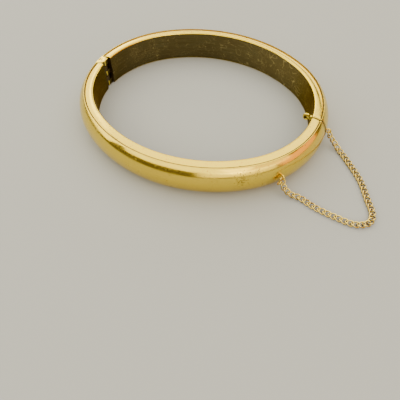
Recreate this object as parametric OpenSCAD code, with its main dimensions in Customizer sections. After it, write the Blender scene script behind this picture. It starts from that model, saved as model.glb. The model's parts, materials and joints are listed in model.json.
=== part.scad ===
// Hinged bangle: two hollow halves, a pin hinge, a box clasp and a curb safety chain.
// X runs from the hinge to the clasp, Y to the back, Z up; the origin is the oval's centre
// on the plane that the bangle rests on.

/* [Oval] */
// Inside length of the oval, from the hinge end to the clasp end
inner_l = 60; // [56:0.5:70]
// Inside width of the oval, from front to back
inner_w = 52; // [50:0.1:54]
// How much tighter the two ends are than half the width
end_ease = 2; // [1:0.1:6]
// Height of the band
band_h = 8.8; // [8.2:0.1:11]

/* [Band] */
// Depth of the band from the inner wall to the fullest point of the dome
band_d = 4.45; // [4:0.05:5.5]
// Radius of the domed outside, seen in section
dome_r = 5.7; // [5.2:0.1:8]
// Thickness of the sheet that both shells are pressed from
sheet = 0.4; // [0.3:0.05:0.5]
// Width of the flat rim, from the inner wall to its outer edge
rim_w = 2.15; // [1.8:0.05:2.4]
// Radius of the rim's slight crown
crown_r = 3.6; // [3:0.1:5]
// Radius of the rim's inner corner
corner_r = 0.6; // [0.55:0.05:0.9]
// How far the dome's shoulder lies below the top of the rim
shoulder_drop = 0.14; // [0.1:0.02:0.4]
// Gap of the seam between the rim and the dome
seam_gap = 0.06; // [0.04:0.01:0.1]
// How far the dome's tucked lip reaches under the rim
lip_w = 0.8; // [0.4:0.1:1]
// Thickness of the end plates that close the halves
plate_t = 0.5; // [0.4:0.05:0.8]
// Gap between the two halves at the clasp
clasp_gap = 0.1; // [0.06:0.02:0.3]

/* [Hinge] */
// Distance of the pin's axis from the inner wall
hinge_d = 2.2; // [2.1:0.05:2.4]
// Diameter of the knuckles
knuckle_dia = 3.2; // [2.8:0.1:3.4]
// Diameter of the pin
pin_dia = 0.8; // [0.6:0.05:0.9]
// Clearance all round the pin
pin_fit = 0.03; // [0.02:0.01:0.05]
// Gap between neighbouring knuckles
knuckle_gap = 0.1; // [0.06:0.02:0.2]
// Gap between a knuckle and the other half's end plate
hinge_gap = 0.15; // [0.1:0.05:0.3]
// Distance of the outermost knuckles from the rims' tops
hinge_inset = 0.3; // [0.2:0.05:0.6]
// How deep the pin's ends lie in their knuckles
pin_inset = 0.15; // [0.1:0.05:0.4]

/* [Clasp] */
// Thickness of the spring tongue's sheet
leaf_t = 0.35; // [0.25:0.05:0.4]
// Distance of the tongue's inner leaf from the inner wall
tongue_d = 1; // [0.9:0.05:1.2]
// Width over both leaves of the folded tongue
tongue_w = 1.7; // [1.4:0.1:1.8]
// Length of the tongue past the seam
tongue_l = 5.2; // [4:0.1:6]
// Height of the tongue
tongue_h = 5.4; // [4:0.1:5.6]
// Clearance between the tongue and the mouth
mouth_gap = 0.15; // [0.1:0.05:0.25]
// Diameter of the thumb button
button_dia = 2.1; // [1.6:0.1:2.4]
// Thickness of the thumb button
button_t = 0.7; // [0.5:0.05:0.8]
// Depth of the hollow in the thumb button
button_dish = 0.25; // [0.1:0.05:0.3]
// Distance of the thumb button from the seam
button_y = 2.2; // [1.6:0.1:3]
// Gap between the thumb button and the inner wall
button_gap = 0.3; // [0.2:0.05:0.5]
// Height of the neck that carries the thumb button
neck_h = 1; // [0.6:0.1:1.4]
// Thickness of that neck
neck_t = 0.6; // [0.4:0.05:0.8]

/* [Chain] */
// Distance from one link to the next
link_pitch = 1.36; // [1.3:0.01:1.45]
// Length of a link, over its wire
link_l = 2.3; // [2.26:0.01:2.36]
// Width of a link, over its wire
link_w = 1.7; // [1.64:0.01:1.8]
// Diameter of the links' wire
link_wire = 0.34; // [0.28:0.01:0.36]
// Twist of a curb link, from its middle to either end
link_twist = 45; // [40:1:50]
// Diameter of the eyelets' centre line
eyelet_dia = 1.2; // [1.1:0.05:1.4]
// Diameter of the eyelets' wire
eyelet_wire = 0.34; // [0.3:0.02:0.4]
// How deep the eyelets sink into the dome
eyelet_sink = 0.25; // [0.15:0.05:0.3]
// Place of the back eyelet, as an angle round the clasp end's centre
eyelet_back_a = 3.8; // [3:0.1:6]
// Place of the front eyelet, as an angle round the clasp end's centre
eyelet_front_a = 38.7; // [36:0.1:42]
// Diameter of the loose ring's centre line
ring_dia = 1.24; // [1.1:0.02:1.4]
// Diameter of the loose ring's wire
ring_wire = 0.26; // [0.2:0.02:0.3]

/* [Hidden] */
$fn = 96;
gold = [0.86, 0.66, 0.33];
gold_pale = [0.93, 0.8, 0.5];
gold_deep = [0.72, 0.52, 0.24];
// Overlap by which joined shapes reach into each other
bite = 0.1;

// The oval: two end arcs and two flatter middle arcs that meet them tangentially
half_w = inner_w / 2;
end_r = half_w - end_ease;
end_cx = inner_l / 2 - end_r;
mid_r = (end_cx * end_cx + half_w * half_w - end_r * end_r) / (2 * (half_w - end_r));
mid_cy = half_w - mid_r;
join_a = atan2(mid_r - half_w, end_cx);
// Angle by which a middle arc reaches past the oval's middle before it is cut off
middle_lap = 1;
// The end arcs are a hair slimmer and reach a little way into the middle arcs
arc_lap = 0.25;
arc_slim = 0.01;
$slim = 0;

// The band's section: x is the distance from the inner wall, y the height
half_h = band_h / 2;
dome_cd = band_d - dome_r;
dome_start = rim_w + seam_gap;
crown_cz = band_h - crown_r;
rim_reach = rim_w - corner_r;
rim_edge_z = crown_cz + sqrt(crown_r * crown_r - rim_reach * rim_reach);
rim_under_z = crown_cz + sqrt(pow(crown_r - sheet, 2) - rim_reach * rim_reach);
lip_z = rim_under_z - seam_gap - sheet;
plate_groove = 0.15;

// The end faces of a half, as distances from the plane between the halves
clasp_y = clasp_gap / 2;
hinge_y = knuckle_dia / 2 + hinge_gap;

// The hinge
hinge_x = -inner_l / 2 - hinge_d;
knuckle_count = 5;
knuckle_z0 = hinge_inset;
knuckle_step = (band_h - 2 * hinge_inset + knuckle_gap) / knuckle_count;
knuckle_h = knuckle_step - knuckle_gap;
web_l = knuckle_dia / 2 + hinge_gap + plate_t / 2;

// The clasp: the tongue's leaves are arcs about the hinge, so that it slides in as it closes
tongue_rise = 0.3;
tongue_z = half_h - tongue_h / 2 + tongue_rise;
leaf_in_r = inner_l / 2 - hinge_x + tongue_d;
leaf_out_r = leaf_in_r + tongue_w - leaf_t;
fold_r = tongue_w / 2;
fold_cr = leaf_in_r + fold_r;
fold_a = asin((tongue_l - fold_r) / fold_cr);
// Angle by which the leaves reach into the fold
fold_joint = 0.05;
// How far the fold bulges past the leaves, inside and outside
fold_bulge = 0.02;
// How far the fold's top and bottom lie inside those of the leaves
fold_inset = 0.1;
foot_y = clasp_y + plate_t + mouth_gap;
foot_w = 1;
// How far the outer leaf reaches past its bent foot
foot_lap = 0.05;
inner_leaf_y = clasp_y + plate_t + bite + mouth_gap;
neck_z = tongue_z + tongue_h - neck_h - bite;
// Depth of the notch for the button's neck, from the inner wall
notch_l = 1;
button_r = button_dia / 2;
button_x = inner_l / 2 - button_gap - button_r - button_y * button_y / (2 * end_r);
neck_x1 = leaf_in_r + hinge_x + leaf_t / 2;
dish_r = button_r - button_t / 2;
dish_ball_r = (dish_r * dish_r + button_dish * button_dish) / (2 * button_dish);

// The eyelets
eyelet_r = eyelet_dia / 2;
eyelet_d = band_d + eyelet_r + eyelet_wire / 2 - eyelet_sink;
// Middle of an eyelet where the wall faces the angle a, on the end arc or the middle arc
function eyelet_at(a) =
    let (on_end = abs(a) <= join_a, r = (on_end ? end_r : mid_r) + eyelet_d)
    [(on_end ? end_cx : 0) + r * cos(a), (on_end ? 0 : sign(a) * mid_cy) + r * sin(a), half_h];
eyelet_back = eyelet_at(eyelet_back_a);
eyelet_front = eyelet_at(-eyelet_front_a);

// The chain's route from the back eyelet over the ground to the front one. Each point is given
// in link pitches: the hanging ends from their eyelet, the others in X and Y from the nearer
// eyelet and in height over the chain's resting height.
hang_back = [[0.654, -0.235, -0.956], [1.684, -0.456, -1.912]];
ground_back = [[3.007, -1.265, 0.15], [4.919, -3.176, 0], [8.154, -7.221, 0],
    [10.213, -11.265, 0], [11.463, -13.912, 0]];
ground_front = [[15.875, -1.316, 0], [13.743, -2.566, 0], [10.581, -2.419, 0],
    [6.904, -1.831, 0], [3.963, -0.949, 0.11]];
hang_front = [[1.978, -1.022, -2.353], [0.434, -0.654, -1.176]];
// Height of the chain's middle over the ground where it rests
rest_z = 0.55;
function hung(points, from) = [for (p = points) from + link_pitch * p];
function laid(points, from) = [for (p = points)
    [from[0] + link_pitch * p[0], from[1] + link_pitch * p[1], rest_z + link_pitch * p[2]]];
route = concat([eyelet_back], hung(hang_back, eyelet_back), laid(ground_back, eyelet_back),
    laid(ground_front, eyelet_front), hung(hang_front, eyelet_front), [eyelet_front]);
// Middle of the loose ring that hangs in the last link, and the way that it is turned
ring_at = eyelet_front + link_pitch * [-0.221, -0.632, -0.846];
ring_turn = [0, -59, 1];
route_fine = 12;
link_sides = 14;
wire_sides = 5;
// Distance along the route from an eyelet's centre to the middle of the link that it holds
end_reach = 0.95;

// Smooth curve through the route's points, at span i and share u of that span
function route_pt(i) =
    i < 0 ? 2 * route[0] - route[1]
    : i >= len(route) ? 2 * route[len(route) - 1] - route[len(route) - 2]
    : route[i];
function spline(i, u) =
    let (a = route_pt(i - 1), b = route_pt(i), c = route_pt(i + 1), d = route_pt(i + 2))
    0.5 * (2 * b + (c - a) * u + (2 * a - 5 * b + 4 * c - d) * u * u
        + (3 * b - a - 3 * c + d) * u * u * u);
curve = [for (k = [0 : (len(route) - 1) * route_fine])
    let (i = min(floor(k / route_fine), len(route) - 2))
    spline(i, k / route_fine - i)];
function add_up(k, total) =
    k >= len(curve) ? []
    : let (next = total + norm(curve[k] - curve[k - 1])) concat([next], add_up(k + 1, next));
travel = concat([0], add_up(1, 0));
curve_axis = [for (axis = [0 : 2]) [for (k = [0 : len(curve) - 1]) [travel[k], curve[k][axis]]]];
function along(s) = [for (axis = [0 : 2]) lookup(s, curve_axis[axis])];
chain_run = travel[len(travel) - 1] - 2 * end_reach;
link_count = round(chain_run / link_pitch) + 1;
link_step = chain_run / (link_count - 1);

function unit(v) = v / norm(v);
// Rounded link outline, fuller than an ellipse
function full(v) = sign(v) * pow(abs(v), 0.75);

// Faces of a closed tube: rings of points, each joined to the next and the last to the first
function tube_faces(rings, sides) = [for (i = [0 : rings - 1], j = [0 : sides - 1], half = [0, 1])
    let (a = i * sides, b = ((i + 1) % rings) * sides, k = (j + 1) % sides)
    half == 0 ? [a + j, a + k, b + k] : [a + j, b + k, b + j]];

module wire_loop(centre_line, dia) {
    n = len(centre_line);
    points = [for (i = [0 : n - 1])
        let (here = centre_line[i],
            ahead = unit(centre_line[(i + 1) % n] - centre_line[(i + n - 1) % n]),
            middle = (centre_line[0] + centre_line[floor(n / 2)]) / 2,
            out = unit((here - middle) - ((here - middle) * ahead) * ahead),
            side = cross(ahead, out))
        for (j = [0 : wire_sides - 1])
            let (w = 360 * (j + 0.5) / wire_sides)
            here + dia / 2 * (cos(w) * out + sin(w) * side)];
    polyhedron(points, tube_faces(n, wire_sides));
}

module curb_link(s) {
    middle = along(s);
    ahead = unit(along(s + link_step / 2) - along(s - link_step / 2));
    up = unit([0, 0, 1] - ahead[2] * ahead);
    side = cross(up, ahead);
    half_l = (link_l - link_wire) / 2;
    half_b = (link_w - link_wire) / 2;
    wire_loop([for (i = [0 : link_sides - 1])
        let (u = 360 * (i + 0.5) / link_sides, x = full(cos(u)), twist = link_twist * x)
        middle + half_l * x * ahead + half_b * full(sin(u)) * (cos(twist) * side + sin(twist) * up)],
        link_wire);
}

// Outline of the inner wall and its two rims, moved inwards by inset, out to the distance w
module rim_half(inset, w) {
    translate([inset, half_h - bite])
        square([corner_r - inset + bite, half_h - corner_r + bite]);
    translate([corner_r, band_h - corner_r])
        circle(r = corner_r - inset);
    intersection() {
        translate([corner_r, crown_cz])
            circle(r = crown_r - inset);
        translate([corner_r, half_h - bite])
            square([w - corner_r, half_h + bite]);
    }
}

module rim_outline(inset, w) {
    rim_half(inset, w);
    translate([0, band_h])
        mirror([0, 1])
            rim_half(inset, w);
}

// What the liner leaves open between its end plates
module hollow_section() {
    rim_outline(sheet - $slim, rim_w + bite);
    translate([rim_w - $slim, -bite])
        square([band_d, band_h + 2 * bite]);
}

module dome_outline(d0) {
    intersection() {
        translate([dome_cd, half_h])
            circle(r = dome_r - $slim);
        translate([d0 + $slim, shoulder_drop + $slim])
            square([band_d, band_h - 2 * shoulder_drop - 2 * $slim]);
    }
}

module dome_lip() {
    translate([rim_w - lip_w + $slim, lip_z + $slim])
        square([lip_w + seam_gap + bite, sheet - 2 * $slim]);
}

// The dome's sheet, folded over at both edges and hooked under the rims
module dome_section() {
    difference() {
        dome_outline(dome_start);
        intersection() {
            translate([dome_cd, half_h])
                circle(r = dome_r - sheet + $slim);
            translate([rim_w, band_h - lip_z - $slim])
                square([band_d, 2 * lip_z - band_h + 2 * $slim]);
        }
    }
    dome_lip();
    translate([0, band_h])
        mirror([0, 1])
            dome_lip();
}

// The band's whole outline, with the seam as a shallow groove
module plate_section() {
    groove_z = band_h - rim_edge_z + plate_groove + $slim;
    rim_outline($slim, rim_w - $slim);
    dome_outline(dome_start);
    translate([rim_w - bite, groove_z])
        square([seam_gap + 2 * bite, band_h - 2 * groove_z]);
}

// One end of the oval's back half, from the seam to a little way into the middle arc
module end_arc() {
    translate([end_cx, 0, 0])
        rotate_extrude(angle = join_a + arc_lap)
            translate([end_r, 0])
                children();
}

// The back quarter of the oval at the clasp: the middle arc is cut off at the oval's middle
module quarter_sweep() {
    end_arc($slim = arc_slim)
        children();
    difference() {
        translate([0, mid_cy, 0])
            rotate([0, 0, join_a])
                rotate_extrude(angle = 90 - join_a + middle_lap)
                    translate([mid_r, 0])
                        children();
        translate([-inner_l, 0, -2 * bite])
            cube([inner_l, inner_w, band_h + 4 * bite]);
    }
}

// Sweep of a section along the whole back half of the oval
module half_sweep() {
    quarter_sweep()
        children();
    mirror([1, 0, 0])
        quarter_sweep()
            children();
}

// What lies before the distance y from the seam, at the clasp and at the hinge
module before(y_at_clasp, y_at_hinge) {
    translate([0, -bite, -bite])
        cube([inner_l, y_at_clasp + bite, band_h + 2 * bite]);
    translate([-inner_l, -bite, -bite])
        cube([inner_l, y_at_hinge + bite, band_h + 2 * bite]);
}

// One knuckle with the web that carries it, trimmed to the band's outline
module knuckle(i) {
    intersection() {
        translate([hinge_x, 0, knuckle_z0 + i * knuckle_step]) {
            cylinder(d = knuckle_dia, h = knuckle_h);
            translate([-knuckle_dia / 2, 0, 0])
                cube([knuckle_dia, web_l, knuckle_h]);
        }
        translate([-inner_l / 2, knuckle_dia, 0])
            rotate([90, 0, 0])
                linear_extrude(2 * knuckle_dia)
                    mirror([1, 0])
                        dome_outline(0);
    }
}

module pin_hole() {
    translate([hinge_x, 0, -bite])
        cylinder(r = pin_dia / 2 + pin_fit, h = band_h + 2 * bite);
}

// Inner wall, rims, end plates and knuckles of a half, lying at the back
module liner_half(knuckles) {
    difference() {
        union() {
            difference() {
                half_sweep()
                    plate_section();
                difference() {
                    half_sweep()
                        hollow_section();
                    before(clasp_y + plate_t, hinge_y + plate_t);
                }
                before(clasp_y, hinge_y);
            }
            for (i = knuckles)
                knuckle(i);
        }
        pin_hole();
    }
}

// Domed outer sheet of a half with its soldered eyelet, lying at the back
module dome_half(eyelet_a) {
    difference() {
        half_sweep()
            dome_section();
        before(clasp_y + plate_t + seam_gap, hinge_y + plate_t + seam_gap);
    }
    translate(eyelet_at(eyelet_a))
        rotate([90, 0, eyelet_a])
            rotate_extrude($fn = 32)
                translate([eyelet_r, 0])
                    circle(d = eyelet_wire, $fn = 24);
}

module back_dome() {
    color(gold)
        dome_half(eyelet_back_a);
}

module front_dome() {
    color(gold)
        mirror([0, 1, 0])
            dome_half(eyelet_front_a);
}

module back_liner() {
    mouth_x = leaf_in_r + hinge_x - mouth_gap;
    color(gold_pale)
        difference() {
            liner_half([0, 2, 4]);
            // The clasp's mouth
            translate([mouth_x, -bite, tongue_z - mouth_gap])
                cube([tongue_w + 2 * mouth_gap, 2 * plate_t, tongue_h + 2 * mouth_gap]);
            // The open-ended notch for the button's neck
            translate([inner_l / 2 - notch_l, -bite, neck_z - 2 * mouth_gap])
                cube([mouth_x - inner_l / 2 + notch_l + bite, button_y + neck_t + bite,
                    neck_h + 4 * mouth_gap]);
        }
}

module front_liner() {
    color(gold_pale)
        difference() {
            mirror([0, 1, 0])
                liner_half([1, 3]);
            // The slot that the tongue's outer leaf is held in
            translate([leaf_out_r + hinge_x - seam_gap, -2 * plate_t, tongue_z - seam_gap])
                cube([leaf_t + 2 * seam_gap, 2 * plate_t + bite, tongue_h + 2 * seam_gap]);
        }
}

module hinge_pin() {
    color(gold_deep)
        translate([hinge_x, 0, hinge_inset + pin_inset])
            cylinder(d = pin_dia, h = band_h - 2 * (hinge_inset + pin_inset));
}

// One leaf of the tongue, an arc about the hinge from a distance past the seam to the fold
module leaf(r, from_y) {
    from_a = asin(from_y / r);
    rotate([0, 0, from_a])
        rotate_extrude(angle = fold_a + fold_joint - from_a)
            translate([r, 0])
                square([leaf_t, tongue_h]);
}

module tongue_fold() {
    rotate([0, 0, fold_a])
        translate([fold_cr, 0, fold_inset])
            linear_extrude(tongue_h - 2 * fold_inset)
                difference() {
                    circle(r = fold_r + fold_bulge);
                    circle(r = fold_r - leaf_t - fold_bulge);
                    translate([-tongue_w, -tongue_w])
                        square([2 * tongue_w, tongue_w]);
                }
}

// Round push button with a rolled edge, its hollow facing the front half
module thumb_button() {
    difference() {
        rotate([90, 0, 0])
            rotate_extrude()
                translate([0, -button_t / 2]) {
                    square([dish_r, button_t]);
                    translate([dish_r, button_t / 2])
                        circle(d = button_t);
                }
        translate([0, button_dish - button_t / 2 - dish_ball_r, 0])
            sphere(r = dish_ball_r);
    }
}

module clasp_tongue() {
    color(gold_deep) {
        translate([hinge_x, 0, tongue_z]) {
            leaf(leaf_out_r, -foot_y - leaf_t - foot_lap);
            leaf(leaf_in_r, inner_leaf_y);
            tongue_fold();
            // The foot bent over behind the front plate
            translate([leaf_out_r + leaf_t / 2 - foot_w, -foot_y - leaf_t, 0])
                cube([foot_w, leaf_t, tongue_h]);
        }
        translate([button_x + dish_r, button_y - neck_t / 2, neck_z])
            cube([neck_x1 - button_x - dish_r, neck_t, neck_h]);
        translate([button_x, button_y, neck_z + neck_h / 2])
            thumb_button();
    }
}

module safety_chain() {
    color(gold)
        for (i = [0 : link_count - 1])
            curb_link(end_reach + i * link_step);
}

module jump_ring() {
    color(gold_deep)
        translate(ring_at)
            rotate(ring_turn)
                rotate_extrude($fn = 32)
                    translate([ring_dia / 2, 0])
                        circle(d = ring_wire, $fn = 24);
}

back_dome();
back_liner();
front_dome();
front_liner();
hinge_pin();
clasp_tongue();
safety_chain();
jump_ring();
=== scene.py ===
"""Looks of the hinged bangle: gold shells, rims, hinge, curb chain and the stage."""

import json
import math

import bmesh
import bpy
import numpy as np
from mathutils import Matrix, Vector

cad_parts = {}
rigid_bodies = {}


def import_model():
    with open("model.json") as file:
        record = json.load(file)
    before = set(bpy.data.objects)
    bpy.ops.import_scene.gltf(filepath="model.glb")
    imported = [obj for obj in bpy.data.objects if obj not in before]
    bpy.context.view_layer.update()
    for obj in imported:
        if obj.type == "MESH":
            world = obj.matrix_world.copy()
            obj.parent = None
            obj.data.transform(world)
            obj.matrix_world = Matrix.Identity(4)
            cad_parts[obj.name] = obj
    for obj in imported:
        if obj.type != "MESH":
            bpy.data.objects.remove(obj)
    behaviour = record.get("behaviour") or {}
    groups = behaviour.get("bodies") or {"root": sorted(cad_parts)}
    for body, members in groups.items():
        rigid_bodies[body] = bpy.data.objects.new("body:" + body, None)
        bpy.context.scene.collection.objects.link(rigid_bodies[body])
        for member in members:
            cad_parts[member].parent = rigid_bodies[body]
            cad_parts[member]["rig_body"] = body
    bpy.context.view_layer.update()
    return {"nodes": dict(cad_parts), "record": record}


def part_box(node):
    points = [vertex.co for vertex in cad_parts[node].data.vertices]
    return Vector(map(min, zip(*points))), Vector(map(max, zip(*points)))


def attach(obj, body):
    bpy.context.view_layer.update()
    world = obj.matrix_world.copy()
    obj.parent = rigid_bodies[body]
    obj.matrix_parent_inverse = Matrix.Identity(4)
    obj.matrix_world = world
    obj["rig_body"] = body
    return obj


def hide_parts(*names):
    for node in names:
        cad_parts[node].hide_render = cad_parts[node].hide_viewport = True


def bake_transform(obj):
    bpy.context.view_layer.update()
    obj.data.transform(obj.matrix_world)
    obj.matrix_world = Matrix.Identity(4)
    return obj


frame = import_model()

bl_info = {
    "name": "Hinged bangle",
    "version": (1, 0, 0),
    "blender": (4, 5, 0),
    "location": "3D View > Sidebar > Bangle",
    "description": "Builds the shells, chain, finishes and stage of a hinged bangle",
    "category": "Add Mesh",
}

MM = 0.001
RECORD = frame["record"]
HINGE_X = RECORD["behaviour"]["joints"][0]["pos_m"][0]
BAND_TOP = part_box("back_liner")[1].z

# The chain's route on the ground in metres, between the two eyelets
CHAIN_ROUTE = [
    (0.0358, 0.0016, 0.0031),
    (0.0372, 0.0013, 0.0018),
    (0.039, 0.0002, 0.00075),
    (0.0416, -0.0024, 0.00055),
    (0.046, -0.0079, 0.00055),
    (0.0488, -0.0134, 0.00055),
    (0.0505, -0.017, 0.00055),
    (0.0502, -0.0199, 0.00055),
    (0.0473, -0.0216, 0.00055),
    (0.043, -0.0214, 0.00055),
    (0.038, -0.0206, 0.00055),
    (0.034, -0.0194, 0.0007),
    (0.0313, -0.0195, 0.0012),
    (0.0292, -0.019, 0.0028),
]

# Worn spots on the front dome, with their radii, and the middle of the curly scratches inside
SCUFFS = [
    ((0.0208, -0.0240, 0.0062), 0.0026),
    ((0.0234, -0.0217, 0.0069), 0.0018),
]
CURLS = (0.017, 0.021, 0.005)
CURLS_REACH = 0.026

# Heights below the band's top: the end of the dome's folded edge and the floor of the seam
FOLD_DROP = 1.2 * MM
GROOVE_DROP = 0.5 * MM

# Corners of the clasp's mouth and of the notch for the button's neck, from the inner wall
MOUTH = ((0.85 * MM, -MM, 1.85 * MM), (2.85 * MM, MM, 7.55 * MM))
NOTCH = ((-1.5 * MM, -MM, 6.0 * MM), (0.9 * MM, 2.9 * MM, 7.6 * MM))

# Share of a rounding that is left at the middle station of a rounded end
EASE = 0.3
# Length along the band over which the stations crowd towards its ends, and the least rounding
# that they crowd for
CROWD = 30 * MM
LEAST_ROUND = 0.05 * MM
KNUCKLES = 5

# Angle over which an edge counts as sharp
SHARP = math.radians(35)

# Points nearer to each other than this are one, the play allowed for rounded-off sizes, and the
# metres of band in one unit of its map
SAME_POINT = 1e-6
PLAY = 1e-9
MAP_UNIT = 0.1

# Parts of a face's normal along an axis: at least so much for a level face, a knuckle's inner
# side, the very front of it and a band's end face, and at most so much for the inner wall
LEVEL = 0.5
INWARD = 0.2
INMOST = 0.97
END_ON = 0.9
UPRIGHT = 0.35

# The solder under an eyelet: its radius, its depth in the dome and its stretch
SOLDER_RADIUS = 0.26 * MM
SOLDER_SINK = 0.12 * MM
SOLDER_STRETCH = (1.15, 1.0, 0.75, 1)

# A link's outline is fuller than an ellipse by this power
LINK_FULLNESS = 0.75
ROUTE_STEPS = 24
FLOOR_HALF = 6.0
SENSOR_WIDTH = 36.0

# Area lights: name, place and size in metres, watts and colour
LIGHTS = (
    ("overhead", (0.0, 0.25, 0.8), (1.6, 1.4), 21.0, (1.0, 0.935, 0.67)),
    ("front", (0.0, -0.575, 0.482), (1.4, 0.42), 5.0, (1.0, 0.935, 0.67)),
    ("left", (-0.66, 0.12, 0.36), (1.3, 0.5), 6.5, (1.0, 0.935, 0.67)),
    ("back", (-0.15, 0.9, 0.24), (1.7, 0.34), 5.5, (1.0, 0.915, 0.62)),
    ("right", (0.62, -0.3, 0.44), (0.8, 0.42), 2.0, (1.0, 0.82, 0.56)),
    ("side", (0.42, -0.43, 0.16), (0.72, 0.22), 1.0, (1.0, 0.9, 0.7)),
    ("warm", (0.5, 0.10, 0.12), (0.42, 0.2), 0.5, (1.0, 0.42, 0.12)),
)


def length(name, text, default):
    """A size in metres that a user may change."""
    return bpy.props.FloatProperty(
        name=name, description=text, default=default, min=0.0, unit="LENGTH", precision=5
    )


def tint(name, text, default):
    """A colour that a user may change."""
    return bpy.props.FloatVectorProperty(
        name=name, description=text, default=default, subtype="COLOR", size=3, min=0, max=1
    )


def angle(name, text, degrees):
    """An angle that a user may change."""
    return bpy.props.FloatProperty(
        name=name, description=text, default=math.radians(degrees), subtype="ANGLE"
    )


class BangleBandSizes(bpy.types.PropertyGroup):
    """Sizes of the two halves."""

    inner_length: length("Inner length", "Inside length from hinge to clasp", 60 * MM)
    inner_width: length("Inner width", "Inside width from front to back", 52 * MM)
    end_radius: length("End radius", "Inside radius of the two ends", 24 * MM)
    height: length("Height", "Height of the band", BAND_TOP)
    depth: length("Depth", "From the inner wall to the fullest point", 4.45 * MM)
    dome_radius: length("Dome radius", "Radius of the domed outside", 5.7 * MM)
    sheet: length("Sheet", "Thickness of the pressed sheet", 0.4 * MM)
    rim_width: length("Rim width", "Width of the flat rim", 2.15 * MM)
    crown_radius: length("Crown radius", "Radius of the rim's crown", 3.6 * MM)
    corner_radius: length("Corner radius", "Radius of the inner corner", 0.6 * MM)
    shoulder_drop: length("Shoulder drop", "Dome's shoulder below the rim", 0.14 * MM)
    seam_gap: length("Seam gap", "Gap between rim and dome", 0.06 * MM)
    plate: length("End plate", "Thickness of the end plates", 0.5 * MM)
    clasp_gap: length("Clasp gap", "Gap between the halves at the clasp", 0.1 * MM)
    knuckle: length("Knuckle", "Diameter of the hinge knuckles", 3.2 * MM)
    pin: length("Pin", "Diameter of the hinge pin", 0.8 * MM)
    hinge_gap: length("Hinge gap", "Gap between knuckle and end plate", 0.15 * MM)
    hinge_inset: length("Hinge inset", "From a rim's top to the outermost knuckle", 0.3 * MM)
    knuckle_gap: length("Knuckle gap", "Gap between neighbouring knuckles", 0.1 * MM)
    pin_fit: length("Pin fit", "Clearance all round the pin", 0.03 * MM)
    edge_round: length("Edge rounding", "Rounding of the worn edges", 0.12 * MM)
    end_round: length("End rounding", "Rounding of the ends that meet", 0.19 * MM)
    line_round: length("Line rounding", "Rounding beside the solder lines", 0.08 * MM)
    # Width of the painted shade along the seams between rim and dome
    seam_shade: length("Seam film", "Width of the dark film along the seams", 0.26 * MM)


class BangleChainSizes(bpy.types.PropertyGroup):
    """Sizes of the safety chain and its eyelets."""

    pitch: length("Pitch", "From one link to the next", 1.36 * MM)
    link_length: length("Link length", "Length of a link over its wire", 2.3 * MM)
    link_width: length("Link width", "Width of a link over its wire", 1.7 * MM)
    wire: length("Wire", "Diameter of the links' wire", 0.34 * MM)
    reach: length("End reach", "From an eyelet to its link's middle", 0.95 * MM)
    eyelet: length("Eyelet", "Diameter of the eyelets' centre line", 1.2 * MM)
    eyelet_wire: length("Eyelet wire", "Diameter of the eyelets' wire", 0.34 * MM)
    eyelet_sink: length("Eyelet sink", "Depth of the eyelets in the dome", 0.25 * MM)
    twist: angle("Twist", "Twist of a curb link", 45)
    back_turn: angle("Back eyelet", "Place of the back eyelet", 3.8)
    front_turn: angle("Front eyelet", "Place of the front eyelet", 38.7)


class BangleFinish(bpy.types.PropertyGroup):
    """Colours of the metal."""

    gold: tint("Gold", "Polished outside and rims", (0.84, 0.63, 0.075))
    # The inside colour is painted shade: the inner wall is the same gold as the outside, darkened
    # to stand for the dark surroundings that it reflects
    inside: tint("Inside", "Duller inner wall", (0.12, 0.096, 0.038))
    # Real tarnish on scuffs and smudges, and painted shade in the seams, gaps and on the chain
    # wire's sides
    tarnish_and_shade: tint("Tarnish", "Darker film in the seams", (0.085, 0.05, 0.016))
    chain: tint("Chain", "Bright drawn wire", (0.84, 0.655, 0.17))


class BangleStage(bpy.types.PropertyGroup):
    """Floor, camera and lights."""

    floor: tint("Floor", "Pale floor", (0.325, 0.335, 0.375))
    room: tint("Room", "Colour of the room all round", (0.30, 0.25, 0.20))
    glow: bpy.props.FloatProperty(
        name="Glow", description="Strength of the room's light", default=0.5
    )
    camera_x: length("Camera X", "Camera's place along X", 35.61 * MM)
    camera_back: length("Camera distance", "Camera's place in front of the oval", 81.86 * MM)
    camera_z: length("Camera height", "Camera's height above the floor", 76.28 * MM)
    pitch: angle("Pitch", "Camera's tilt below level", 52.88)
    heading: angle("Heading", "Camera's turn from +Y towards -X", 23.9)
    lens: bpy.props.FloatProperty(
        name="Lens", description="Focal length in mm on the camera's sensor", default=36.0
    )


def arc(centre, radius, start, stop, count):
    """Points along a circular arc; angles in degrees, measured from the outward direction."""
    turns = np.radians(np.linspace(start, stop, count))
    return [(centre[0] + radius * math.cos(a), centre[1] + radius * math.sin(a)) for a in turns]


def soften(points, radius, count=4):
    """Rounds the corner in the middle of three points."""
    before, corner, after = (np.array(p, float) for p in points)
    way_in = before - corner
    way_out = after - corner
    reach = min(radius, 0.45 * np.linalg.norm(way_in), 0.45 * np.linalg.norm(way_out))
    first = corner + way_in / np.linalg.norm(way_in) * reach
    last = corner + way_out / np.linalg.norm(way_out) * reach
    steps = np.linspace(0, 1, count + 1)
    return [tuple((1 - t) ** 2 * first + 2 * t * (1 - t) * corner + t * t * last) for t in steps]


def whole_section(top, height):
    """Mirrors the upper half of an open profile about mid-height; runs from the bottom up."""
    bottom = [(d, height - z) for d, z in reversed(top)]
    return bottom + top


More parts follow.
